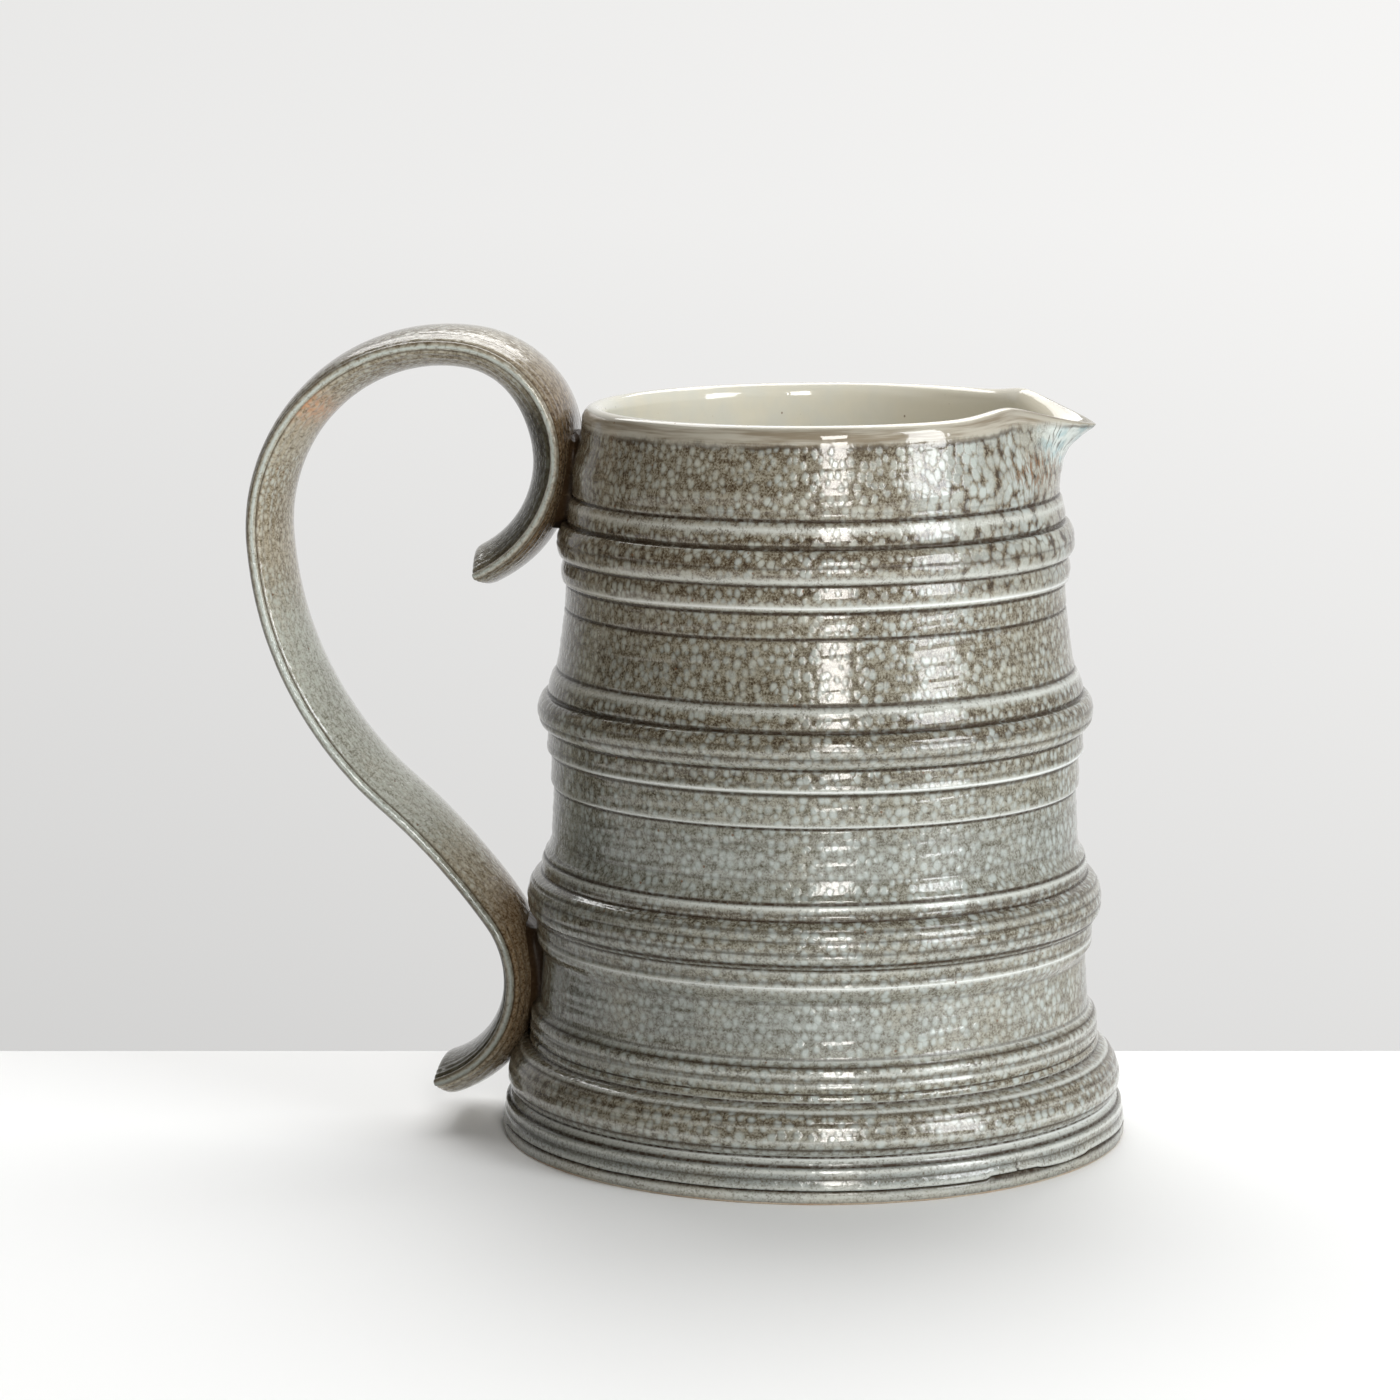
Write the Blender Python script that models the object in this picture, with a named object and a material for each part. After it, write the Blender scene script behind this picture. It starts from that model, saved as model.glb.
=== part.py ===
"""A one-litre stoneware pouring jug: a ringed, thrown wall with a pulled lip, standing on a slab
base, with an extruded strap handle luted on at two places. Nothing on it moves.

Frame: metres, +Z up. The jug's turning axis is Z and it stands on z = 0. The lip points to +X
and the handle lies in the plane y = 0 on the -X side.
"""

import math
from collections import namedtuple

import bmesh
import bpy
from mathutils import Vector

MM = 0.001
GAP = 0.3 * MM  # clearance between pieces that the slip and the firing hold together

# Base slab
BASE_RADIUS = 70 * MM
BASE_EDGE = 3 * MM  # height of the edge that shows under the wall
FLOOR_TOP = 7 * MM  # top of the floor inside the jug
FLOOR_RADIUS = 61.4 * MM
BASE_CHAMFER = 0.8 * MM

# Thrown wall, outside, from the foot up. Each course starts at a height and a radius and runs
# straight to the next one, swelled outwards by its roll. All in millimetres.
WALL_COURSES = (
    # height, radius, roll
    (3.3, 69.9, 0.0),  # foot band
    (7.6, 69.3, 0.0),
    (9.9, 67.0, 2.9),  # foot roll
    (19.9, 64.2, 0.0),
    (20.6, 63.4, 0.6),  # three thin ridges
    (22.5, 63.1, 0.6),
    (24.8, 63.2, 0.6),
    (28.4, 62.6, 0.0),
    (29.6, 61.4, 0.0),  # lower wall
    (41.4, 60.7, 0.0),
    (43.8, 62.2, 0.0),  # lower band
    (49.3, 62.4, 2.2),  # middle roll
    (58.8, 61.8, 0.0),
    (59.5, 60.8, 0.7),  # bead on its shoulder
    (64.4, 59.7, 0.0),
    (66.5, 58.9, 0.0),  # middle wall
    (77.6, 58.3, 0.0),
    (78.4, 58.9, 0.0),  # two stepped bands
    (84.6, 58.7, 0.0),
    (86.4, 59.9, 0.0),
    (91.8, 59.5, 2.5),  # upper roll
    (99.7, 59.4, 0.5),  # bead on its shoulder
    (104.6, 58.0, 0.0),
    (107.3, 57.2, 0.0),  # waist
    (117.4, 55.8, 0.0),
    (122.6, 55.4, 0.0),
    (123.3, 55.9, 0.0),  # upper band
    (127.9, 56.3, 0.0),
    (130.2, 55.9, 1.9),  # roll under the collar
    (138.4, 55.3, 0.3),
    (142.4, 54.2, 0.0),  # collar
    (149.5, 53.9, 0.0),
    (155.5, 52.2, 0.0),
    (160.6, 51.6, 0.0),  # under the rounded rim
)
ROLL_STEPS = 6

# Thrown wall, inside, from under the rim down: height and radius in millimetres.
INNER_WALL = (
    (160.6, 46.6),
    (142.0, 48.9),
    (122.0, 50.5),
    (95.0, 53.6),
    (72.0, 53.5),
    (45.0, 56.0),
    (25.0, 57.4),
    (9.0, 61.8),
    (3.3, 62.3),
)
RIM_TOP = 163.5 * MM
RIM_STEPS = 6
WALL_SEGMENTS = 60

# Pouring lip, pulled out of the rim
LIP_REACH = 11.3 * MM
LIP_HALF_ANGLE = math.radians(27)
LIP_FOOT = 146.5 * MM  # height where the wall starts to lean out
LIP_LEAN = 1.8
LIP_DIP = 3.6 * MM  # how far the tip drops below the rim
LIP_SHOULDER_RISE = 1.4 * MM
LIP_SHOULDER_ANGLE = math.radians(27)
LIP_SHOULDER_WIDTH = math.radians(12)

# Strap handle: the line through the middle of its edges is a chain of tangent arcs in the
# plane y = 0, from the upper curled end to the lower one.
HANDLE_START = (-74.6, 124.9)  # x and z in millimetres
HANDLE_HEADING = 23.2  # degrees up from +X
HANDLE_ARCS = (
    # radius in millimetres, turn in degrees (anticlockwise is positive)
    (31.1, 53.8),  # curl beside the wall
    (24.3, 95.2),  # over the top of the curl
    (42.2, 101.3),  # the big loop round the fingers
    (83.4, 46.1),  # back of the grip
    (148.0, -14.0),  # leg
    (23.8, -111.0),  # lower curl
)
HANDLE_STEP = 5 * MM
STRAP_WIDTH = 31 * MM
STRAP_EDGE = 2 * MM  # thickness of the rounded edge
STRAP_SWELL = {
    "back": 2.6 * MM,  # the side away from the fingers
    "grip": 4.6 * MM,  # the side that the fingers hold
}
STRAP_FACE_STEPS = 6

# Luted joints, each on the side of the strap that meets the wall. The strap is pressed flatter
# there, and the clay between them sits in a shallow seat in the wall.
Joint = namedtuple("Joint", "side low high seat_radius pressed_swell")
JOINTS = {
    "upper_handle_joint": Joint("back", 141 * MM, 155 * MM, 52.6 * MM, 0.8 * MM),
    "lower_handle_joint": Joint("grip", 26 * MM, 40 * MM, 60.4 * MM, 3.6 * MM),
}
PRESS_REACH = 16 * MM  # how far from the seat the strap is still pressed
PRESS_LENGTH = 18 * MM  # how far up and down from the joint's middle
JOINT_HALF_WIDTH = 11 * MM
JOINT_STEPS = 8

CLAY_BROWN = (0.19, 0.15, 0.11, 1)
CLAY_GREY = (0.24, 0.23, 0.20, 1)
STRAP_GREY = (0.36, 0.33, 0.27, 1)


def clear_scene():
    for obj in list(bpy.data.objects):
        bpy.data.objects.remove(obj, do_unlink=True)


def ceramic(name, colour, roughness):
    material = bpy.data.materials.new(name)
    material.use_nodes = True
    shader = material.node_tree.nodes["Principled BSDF"]
    shader.inputs["Base Color"].default_value = colour
    shader.inputs["Roughness"].default_value = roughness
    return material


def add_object(name, bm, material=None):
    bmesh.ops.recalc_face_normals(bm, faces=bm.faces)
    mesh = bpy.data.meshes.new(name)
    bm.to_mesh(mesh)
    bm.free()
    obj = bpy.data.objects.new(name, mesh)
    bpy.context.scene.collection.objects.link(obj)
    if material:
        mesh.materials.append(material)
        mesh.shade_smooth()
        mesh.set_sharp_from_angle(angle=math.radians(40))
    return obj


def cut(obj, cutter):
    cutter.hide_render = True
    cutter.display_type = "WIRE"
    boolean = obj.modifiers.new("cut_" + cutter.name, "BOOLEAN")
    boolean.operation = "DIFFERENCE"
    boolean.solver = "EXACT"
    boolean.object = cutter


def lathe(profile, segments):
    """A closed outline of (radius, height) points turned once round Z."""
    bm = bmesh.new()
    verts = [bm.verts.new((radius, 0, height)) for radius, height in profile]
    edges = [bm.edges.new((a, b)) for a, b in zip(verts, verts[1:] + verts[:1])]
    bmesh.ops.spin(
        bm,
        geom=verts + edges,
        axis=(0, 0, 1),
        cent=(0, 0, 0),
        angle=math.tau,
        steps=segments,
        use_merge=True,
    )
    return bm


def outer_outline():
    """Points (radius, height) up the outside of the wall, with the rolls as half ellipses."""
    points = []
    for (low, radius, roll), (high, next_radius, _) in zip(WALL_COURSES, WALL_COURSES[1:]):
        steps = ROLL_STEPS if roll > 1 else 3 if roll else 1
        for i in range(steps):
            turn = math.pi * i / steps
            share = (1 - math.cos(turn)) / 2
            swell = roll * math.sin(turn)
            points.append((radius + (next_radius - radius) * share + swell, low + (high - low) * share))
    height, radius, _ = WALL_COURSES[-1]
    points.append((radius, height))
    return [(r * MM, z * MM) for r, z in points]


def rim_outline(outside, inside):
    """Points over the rounded rim, from just after the outside to just before the inside."""
    middle = (outside[0] + inside[0]) / 2
    half = (outside[0] - inside[0]) / 2
    rise = RIM_TOP - outside[1]
    turns = [math.pi * i / RIM_STEPS for i in range(1, RIM_STEPS)]
    return [(middle + half * math.cos(t), outside[1] + rise * math.sin(t)) for t in turns]


def pull_lip(point):
    """Moves a point of the turned wall to where pulling the lip leaves it."""
    height = (point.z - LIP_FOOT) / (RIM_TOP - LIP_FOOT)
    if height <= 0:
        return point
    angle = abs(math.atan2(point.y, point.x))
    share = max(0.0, 1 - angle / LIP_HALF_ANGLE)
    beak = share * share * (2.2 - 1.2 * share)
    shoulder = math.exp(-(((angle - LIP_SHOULDER_ANGLE) / LIP_SHOULDER_WIDTH) ** 2))
    lean = height**LIP_LEAN
    outwards = Vector((point.x, point.y, 0)).normalized()
    moved = point + outwards * LIP_REACH * beak * lean
    moved.z += (LIP_SHOULDER_RISE * shoulder - LIP_DIP * beak) * lean
    return moved


def handle_line():
    """Stations along the strap: (position, heading), with the heading in radians."""
    x, z = HANDLE_START[0] * MM, HANDLE_START[1] * MM
    heading = math.radians(HANDLE_HEADING)
    stations = [((x, z), heading)]
    for radius, turn in HANDLE_ARCS:
        turn = math.radians(turn)
        length = radius * MM * abs(turn)
        steps = math.ceil(length / HANDLE_STEP)
        for _ in range(steps):
            heading += turn / steps / 2
            chord = 2 * radius * MM * math.sin(abs(turn) / steps / 2)
            x += chord * math.cos(heading)
            z += chord * math.sin(heading)
            heading += turn / steps / 2
            stations.append(((x, z), heading))
    return stations


def swell_at(station, side):
    """How far a face of the strap swells at its middle: less where it is pressed on the wall."""
    (x, z), _ = station
    joint = next(j for j in JOINTS.values() if j.side == side)
    full = STRAP_SWELL[side]
    if x < -(joint.seat_radius + PRESS_REACH):
        return full
    share = min(1.0, abs(z - (joint.low + joint.high) / 2) / PRESS_LENGTH)
    pressed = (1 + math.cos(math.pi * share)) / 2
    return full + (joint.pressed_swell - full) * pressed


def strap_face(station, side, across):
    """Height of a face of the strap over its middle plane, at across = -1 to 1 of its width."""
    return STRAP_EDGE / 2 + swell_at(station, side) * (1 - across * across)


def strap_section(station, grow):
    """The strap's outline as (across, out) points. Out is positive on the back face."""
    half = STRAP_WIDTH / 2 - STRAP_EDGE / 2
    shares = [-1 + 2 * i / STRAP_FACE_STEPS for i in range(STRAP_FACE_STEPS + 1)]
    back = [(half * s, strap_face(station, "back", s) + grow) for s in shares]
    grip = [(half * s, -strap_face(station, "grip", s) - grow) for s in reversed(shares)]
    edge = STRAP_WIDTH / 2 + grow
    return back + [(edge, 0)] + grip + [(-edge, 0)]


def on_strap(station, across, out):
    (x, z), heading = station
    return Vector((x + out * math.sin(heading), across, z - out * math.cos(heading)))


def sweep_strap(grow):
    bm = bmesh.new()
    rings = []
    for station in handle_line():
        section = strap_section(station, grow)
        rings.append([bm.verts.new(on_strap(station, across, out)) for across, out in section])
    for ring, following in zip(rings, rings[1:]):
        for i in range(len(ring)):
            j = (i + 1) % len(ring)
            bm.faces.new((ring[i], ring[j], following[j], following[i]))
    bm.faces.new(rings[0])
    bm.faces.new(rings[-1])
    return bm


def station_at(height):
    """The station beside the wall at this height: the nearest pass of the strap to the axis."""
    stations = handle_line()
    spans = zip(stations, stations[1:])
    crossing = [(a, b) for a, b in spans if min(a[0][1], b[0][1]) <= height < max(a[0][1], b[0][1])]
    low, high = max(crossing, key=lambda span: span[0][0][0])
    share = (height - low[0][1]) / (high[0][1] - low[0][1])
    x = low[0][0] + share * (high[0][0] - low[0][0])
    return (x, height), low[1] + share * (high[1] - low[1])


def joint_clay(joint, front_gap, back_gap, spread):
    """Clay between the strap and the seat in the wall, as a closed block that follows both."""
    sign = 1 if joint.side == "back" else -1
    length = joint.high - joint.low + 2 * spread
    depth = joint.seat_radius - back_gap
    half = JOINT_HALF_WIDTH + spread
    bm = bmesh.new()
    layers = ([], [])
    for i in range(JOINT_STEPS + 1):
        station = station_at(joint.low - spread + length * i / JOINT_STEPS)
        for j in range(JOINT_STEPS + 1):
            across = half * (2 * j / JOINT_STEPS - 1)
            face = strap_face(station, joint.side, across / (STRAP_WIDTH / 2))
            front = on_strap(station, across, sign * (face + front_gap))
            back = Vector((-math.sqrt(depth * depth - across * across), across, front.z))
            layers[0].append(bm.verts.new(front))
            layers[1].append(bm.verts.new(back))
    row = JOINT_STEPS + 1
    for layer in layers:
        for i in range(JOINT_STEPS):
            for j in range(JOINT_STEPS):
                a = i * row + j
                bm.faces.new((layer[a], layer[a + 1], layer[a + row + 1], layer[a + row]))
    border = [e for e in bm.edges if e.is_boundary]
    bmesh.ops.bridge_loops(bm, edges=border)
    return bm


def build_wall(material):
    outside = outer_outline()
    inside = [(r * MM, z * MM) for z, r in INNER_WALL]
    bm = lathe(outside + rim_outline(outside[-1], inside[0]) + inside, WALL_SEGMENTS)
    for vert in bm.verts:
        vert.co = pull_lip(vert.co.copy())
    return add_object("body_wall", bm, material)


def build_base(material):
    outline = [
        (0, 0),
        (BASE_RADIUS - BASE_CHAMFER, 0),
        (BASE_RADIUS, BASE_CHAMFER),
        (BASE_RADIUS, BASE_EDGE),
        (FLOOR_RADIUS, BASE_EDGE),
        (FLOOR_RADIUS, FLOOR_TOP),
        (0, FLOOR_TOP),
    ]
    bm = lathe(outline, WALL_SEGMENTS)
    bmesh.ops.remove_doubles(bm, verts=bm.verts, dist=0.01 * MM)
    return add_object("base_disc", bm, material)


def main():
    clear_scene()
    wall_glaze = ceramic("wall_glaze", CLAY_BROWN, 0.35)
    strap_glaze = ceramic("strap_glaze", STRAP_GREY, 0.3)
    base_clay = ceramic("base_clay", CLAY_GREY, 0.6)

    wall = build_wall(wall_glaze)
    build_base(base_clay)
    add_object("handle_strap", sweep_strap(0), strap_glaze)
    cut(wall, add_object("strap_clearance", sweep_strap(GAP)))
    for name, joint in JOINTS.items():
        add_object(name, joint_clay(joint, GAP, 0, 0), wall_glaze)
        cut(wall, add_object(name + "_seat", joint_clay(joint, -GAP, GAP, GAP)))


main()
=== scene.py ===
"""The finished look of a one-litre stoneware pouring jug: a thrown, ringed, salt-glazed wall with a
pulled lip and a pale liner glaze, on a slab base, with an extruded strap handle.

Frame: metres, +Z up, the jug's turning axis on Z, standing on z = 0, lip to +X, handle to -X.
Shapes are worked out in millimetres and turned into metres when a mesh is made.
"""

import math
from types import SimpleNamespace

import bpy
import numpy as np
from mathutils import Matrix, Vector


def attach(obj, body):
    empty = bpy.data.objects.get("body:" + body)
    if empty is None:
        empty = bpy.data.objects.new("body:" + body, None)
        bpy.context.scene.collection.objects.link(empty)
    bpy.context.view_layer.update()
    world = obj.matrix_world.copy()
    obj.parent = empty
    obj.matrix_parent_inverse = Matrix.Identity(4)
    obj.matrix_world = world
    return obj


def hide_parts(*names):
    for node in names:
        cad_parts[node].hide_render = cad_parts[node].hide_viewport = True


MM = 0.001

# Thrown wall, outside, from the foot up. Each course starts at a height and a radius and runs
# straight to the next one, swelled outwards by its roll.
WALL_COURSES = (
    # height, radius, roll
    (3.3, 69.9, 0.0),  # foot band
    (7.6, 69.3, 0.0),
    (9.9, 67.0, 2.9),  # foot roll
    (19.9, 64.2, 0.0),
    (20.6, 63.4, 0.6),  # three thin ridges
    (22.5, 63.1, 0.6),
    (24.8, 63.2, 0.6),
    (28.4, 62.6, 0.0),
    (29.6, 61.4, 0.0),  # lower wall
    (41.4, 60.7, 0.0),
    (43.8, 62.2, 0.0),  # lower band
    (49.3, 62.4, 2.2),  # middle roll
    (58.8, 61.8, 0.0),
    (59.5, 60.8, 0.7),  # bead on its shoulder
    (64.4, 59.7, 0.0),
    (66.5, 58.9, 0.0),  # middle wall
    (78.6, 58.3, 0.0),
    (79.3, 59.0, 0.0),  # two stepped bands
    (85.8, 58.8, 0.0),
    (86.7, 59.9, 0.0),
    (91.8, 59.5, 2.5),  # upper roll
    (99.7, 59.4, 0.5),  # bead on its shoulder
    (104.6, 58.0, 0.0),
    (107.3, 57.2, 0.0),  # waist
    (117.4, 55.8, 0.0),
    (124.2, 55.3, 0.0),
    (124.9, 56.2, 0.0),  # upper band
    (127.5, 56.5, 0.0),
    (130.2, 55.9, 1.9),  # roll under the collar
    (138.2, 55.0, 0.5),  # bead on its shoulder
    (143.6, 54.0, 0.0),  # collar
    (149.5, 53.9, 0.0),
    (155.5, 52.2, 0.0),
    (160.6, 51.6, 0.0),  # under the rounded rim
)
# Lines left by the fingers and by a pointed tool: height, depth and half width.
THROWING_LINES = (
    (5.4, 0.2, 0.35),
    (8.1, 0.45, 0.35),
    (11.5, 0.25, 0.35),
    (15.0, 0.1, 0.3),
    (17.0, 0.15, 0.3),
    (18.6, 0.2, 0.3),
    (25.5, 0.15, 0.4),
    (28.1, 0.25, 0.35),
    (33.5, 0.05, 0.4),
    (46.3, 0.15, 0.4),
    (50.2, 0.3, 0.4),
    (52.8, 0.2, 0.35),
    (55.5, 0.2, 0.35),
    (57.6, 0.2, 0.35),
    (60.7, 0.15, 0.35),
    (63.0, 0.35, 0.35),
    (67.7, 0.1, 0.35),
    (75.4, 0.07, 0.35),
    (78.7, 0.15, 0.3),
    (86.2, 0.2, 0.3),
    (88.4, 0.12, 0.35),
    (94.2, 0.2, 0.35),
    (96.9, 0.15, 0.35),
    (99.8, 0.4, 0.35),
    (105.2, 0.4, 0.35),
    (112.5, 0.05, 0.3),
    (118.8, 0.4, 0.32),
    (124.3, 0.2, 0.3),
    (130.2, 0.1, 0.4),
    (134.0, 0.15, 0.35),
    (138.1, 0.5, 0.35),
    (143.8, 0.4, 0.35),
    (145.3, 0.08, 0.3),
)
# Where the glaze has run smooth and pale, on edges and shoulders: height, half width, strength; a strength
# above 1 adds a painted reflection of the table on a ledge.
PALE_AND_REFLECTION_BANDS = (
    (3.7, 0.5, 0.75),
    (7.0, 0.45, 1.1),
    (9.4, 0.8, 1.3),
    (13.2, 0.4, 0.65),
    (16.1, 0.3, 0.5),
    (19.2, 0.3, 1.1),
    (20.6, 0.35, 1.1),
    (24.4, 0.45, 0.8),
    (26.6, 0.5, 0.9),
    (29.4, 0.5, 0.8),
    (45.1, 0.5, 1.4),
    (48.4, 0.4, 0.4),
    (51.6, 0.4, 0.4),
    (56.7, 0.5, 0.35),
    (62.1, 0.5, 1.2),
    (79.3, 0.45, 1.4),
    (87.0, 0.5, 1.5),
    (92.9, 0.5, 0.7),
    (95.4, 0.4, 0.5),
    (104.0, 0.7, 1.15),
    (125.5, 0.55, 1.5),
    (131.2, 0.7, 1.15),
    (141.9, 0.7, 1.15),
)
# Where the iron in the clay has come through as brown flecks: height, half width, strength.
FLECK_BANDS = (
    (16.5, 1.6, 0.2),
    (27.0, 0.8, 0.35),
    (54.0, 0.8, 0.5),
    (59.6, 1.4, 0.6),
    (90.2, 0.8, 0.4),
    (98.2, 1.2, 0.6),
    (101.6, 1.2, 0.65),
    (128.4, 1.0, 0.5),
    (134.8, 1.6, 0.6),
    (139.6, 1.0, 0.65),
    (158.8, 1.2, 0.5),
)
# Where the glaze lies quiet, with little dark in it: height, half width, strength.
CALM_BANDS = (
    (4.0, 7.0, 1.5),
    (37.0, 8.0, 0.75),
    (51.0, 4.0, 0.35),
    (70.5, 9.0, 0.6),
)
# Thrown wall, inside, from under the rim down: height and radius.
INNER_WALL = (
    (160.6, 46.6),
    (142.0, 48.9),
    (122.0, 50.5),
    (95.0, 53.6),
    (72.0, 53.5),
    (45.0, 56.0),
    (25.0, 57.4),
    (9.0, 61.8),
    (3.3, 62.3),
)
RIM_TOP = 163.5
RIM_STEPS = 22
ROLL_STEPS = 24  # points on the half ellipse of one roll
OUTSIDE_STEP = 0.36  # distance between points of the outline
INSIDE_STEP = 1.6
WALL_SEGMENTS = 400
RING_TILT = 0.008  # the upper rings lean up towards the lip
WET_ROUNDING = 0.4  # how far the wet clay and the glaze round every corner
INSIDE_ROUNDING = 4.0

# Pouring lip, pulled out of the rim
LIP_REACH = 11.3
LIP_HALF_ANGLE = math.radians(27)
LIP_FOOT = 146.5  # height where the wall starts to lean out
LIP_LEAN = 1.8
LIP_DIP = 3.6  # how far the tip drops below the rim
LIP_SHOULDER_RISE = 1.4
LIP_SHOULDER_ANGLE = math.radians(27)
LIP_SHOULDER_WIDTH = math.radians(12)

PATTERN_RADIUS = 62.0  # radius at which the glaze pattern is drawn round the jug
LINER_EDGE = 159.6  # height where the liner glaze ends on the outside, under the rim

# Slab base
BASE_RADIUS = 70.0
BASE_EDGE = 3.0
BASE_CHAMFER = 0.8
FLOOR_RADIUS = 61.4
FLOOR_TOP = 7.0
CENTRE_HOLE = 0.5  # radius of the small face that closes a disc at its centre
SEAM_WAVE = 0.22  # how far the seam between wall and slab wanders up and down
SEAM_STEPS = ((-50.0, 0.55), (-38.0, -0.35), (-24.0, 0.3))  # at degrees, height of the step
CRACK_AT = math.radians(-43.5)  # a short firing crack up from the seam
CRACK_TOP = 8.2
CRACK_WIDTH = 0.3
CRACK_DEPTH = 0.5

# Strap handle: the line through the middle of its edges is a chain of tangent arcs in the
# plane y = 0, from the upper curled end to the lower one.
HANDLE_START = (-74.6, 124.9)
HANDLE_HEADING = math.radians(23.2)
HANDLE_ARCS = (
    # radius, turn in degrees (anticlockwise is positive)
    (31.1, 53.8),  # curl beside the wall
    (24.3, 95.2),  # over the top of the curl
    (42.2, 101.3),  # the big loop round the fingers
    (83.4, 46.1),  # back of the grip
    (148.0, -14.0),  # leg
    (23.8, -111.0),  # lower curl
)
HANDLE_STEP = 0.9
STRAP_WIDTH = 31.0
STRAP_EDGE = 2.0  # thickness at its rounded edges
BACK_SWELL = 2.5  # how far each face is crowned
GRIP_SWELL = 4.6
CURL_SWELL = 2.2  # the strap is fatter inside its upper curl
CURL_LENGTH = 42.0  # how far along the strap from its upper end
CURL_SPREAD = 20.0
STRAP_FACE_STEPS = 52
STRAP_EDGE_STEPS = 12
STRAP_END_ROUNDING = 1.5
FLASH_AT = (-111.0, 162.0)  # x and z of a small orange flash inside the loop
FLASH_SIZE = 4.0
# Luted joints: the face of the strap that meets the wall, the joint's lowest and highest points,
# the wall's radius there, and the swell that is left where the strap is pressed on.
JOINTS = {
    "upper_handle_joint": ("back", 141.0, 155.0, 52.6, 0.8),
    "lower_handle_joint": ("grip", 26.0, 40.0, 60.4, 3.6),
}
JOINT_HALF_WIDTH = 8.5
JOINT_SMEAR = {  # how far the clay is smeared below and above each joint
    "upper_handle_joint": (6.5, 1.5),
    "lower_handle_joint": (5.5, 7.0),
}
JOINT_ROWS = 25
PRESS_REACH = 16.0  # how far from the wall the strap feels the pressing
PRESS_LENGTH = 18.0  # how far up and down it feels it
# Relief drawn along the strap by the die: distance in from the edge, height, half width.
STRAP_RELIEF = (
    (0.2, 0.15, 0.4),  # bead along the edge
    (1.3, -0.30, 0.3),  # groove beside it
    (2.4, 0.16, 0.45),
    (3.4, -0.16, 0.3),
    (4.5, 0.12, 0.5),
    (5.7, -0.10, 0.35),
)

# Camera
VIEW_YAW = math.radians(7.5)
VIEW_DISTANCE = 1.041
VIEW_HEIGHT = 0.2666
VIEW_PITCH = math.radians(9.25)
VIEW_TURN = math.radians(1.41)  # the jug stands right of the middle of the frame
LENS = 121.6
SENSOR = 36.0

TABLE_BACK = 0.0755  # from the jug's axis to the table's far edge
TABLE_FRONT = 1.3
TABLE_HALF_WIDTH = 1.6
TABLE_THICKNESS = 0.04
TABLE_ROUNDING = 0.006


# ---------------------------------------------------------------- meshes


def gaussian(distance, width):
    return np.exp(-((distance / width) ** 2))


def smoothstep(value, low, high):
    share = np.clip((value - low) / (high - low), 0, 1)
    return share * share * (3 - 2 * share)


def waves(angle, seed, orders, falloff=1.0):
    """A gentle closed curve round the jug: sines of whole orders with seeded phases, about -1 to 1."""
    rng = np.random.default_rng(seed)
    total = np.zeros_like(angle)
    for order in orders:
        total += np.sin(order * angle + rng.uniform(0, math.tau)) / order**falloff
    return total / sum(1 / order**falloff for order in orders)


def length_along(points):
    """Length along a polyline up to each of its points."""
    return np.concatenate([[0], np.cumsum(np.hypot(*np.diff(points, axis=0).T))])


def resample(points, step):
    """Points evenly spaced along an open polyline."""
    points = np.array(points, float)
    along = length_along(points)
    count = max(2, int(round(along[-1] / step)) + 1)
    wanted = np.linspace(0, along[-1], count)
    return np.stack([np.interp(wanted, along, points[:, i]) for i in range(points.shape[1])], 1)


def soften(points, width, step):
    """An open polyline with its corners rounded; the two ends stay where they are."""
    reach = int(math.ceil(3 * width / step))
    kernel = gaussian(np.arange(-reach, reach + 1) * step, width)
    kernel /= kernel.sum()
    start = 2 * points[0] - points[reach:0:-1]
    end = 2 * points[-1] - points[-2 : -reach - 2 : -1]
    padded = np.concatenate([start, points, end])
    return np.stack([np.convolve(padded[:, i], kernel, "valid") for i in range(2)], 1)


def outward_normals(outline):
    """Unit normals of an outline of (radius, height) points that runs up the outside."""
    along = np.gradient(outline, axis=0)
    along /= np.maximum(np.hypot(along[:, 0], along[:, 1]), 1e-9)[:, None]
    return np.stack([along[:, 1], -along[:, 0]], 1)


def bend_of(outline, step):
    """How sharply an outline turns at each point, in radians per mm, positive where it bulges."""
    along = np.gradient(outline, axis=0)
    heading = np.unwrap(np.arctan2(along[:, 1], along[:, 0]))
    return np.gradient(heading) / step


def outer_outline():
    """Up the outside, from the foot to under the rim, as points (radius, height)."""
    points = []
    for (low, radius, roll), (high, next_radius, _) in zip(WALL_COURSES, WALL_COURSES[1:]):
        steps = ROLL_STEPS if roll else 2
        turns = math.pi * np.arange(steps) / steps
        shares = (1 - np.cos(turns)) / 2
        radii = radius + (next_radius - radius) * shares + roll * np.sin(turns)
        points += list(zip(radii, low + (high - low) * shares))
    points.append((WALL_COURSES[-1][1], WALL_COURSES[-1][0]))
    outline = soften(resample(points, OUTSIDE_STEP), WET_ROUNDING, OUTSIDE_STEP)
    normals = outward_normals(outline)
    for height, depth, half_width in THROWING_LINES:
        outline -= normals * (depth * gaussian(outline[:, 1] - height, half_width))[:, None]
    return outline


def inner_outline():
    """Down the inside, with the soft ridges that the fingers leave."""
    heights, radii = np.array(INNER_WALL).T
    fine = np.arange(heights[0], heights[-1], -INSIDE_STEP)
    outline = np.stack([np.interp(fine, heights[::-1], radii[::-1]), fine], 1)
    outline = soften(outline, INSIDE_ROUNDING, INSIDE_STEP)
    ridge = 0.22 * np.sin(fine * 0.9 + 1.5 * np.sin(fine * 0.13))
    outline[:, 0] += ridge * smoothstep(fine, 150, 135) * smoothstep(fine, 9, 25)
    return np.concatenate([outline, [[radii[-1], heights[-1]]]])


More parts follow.
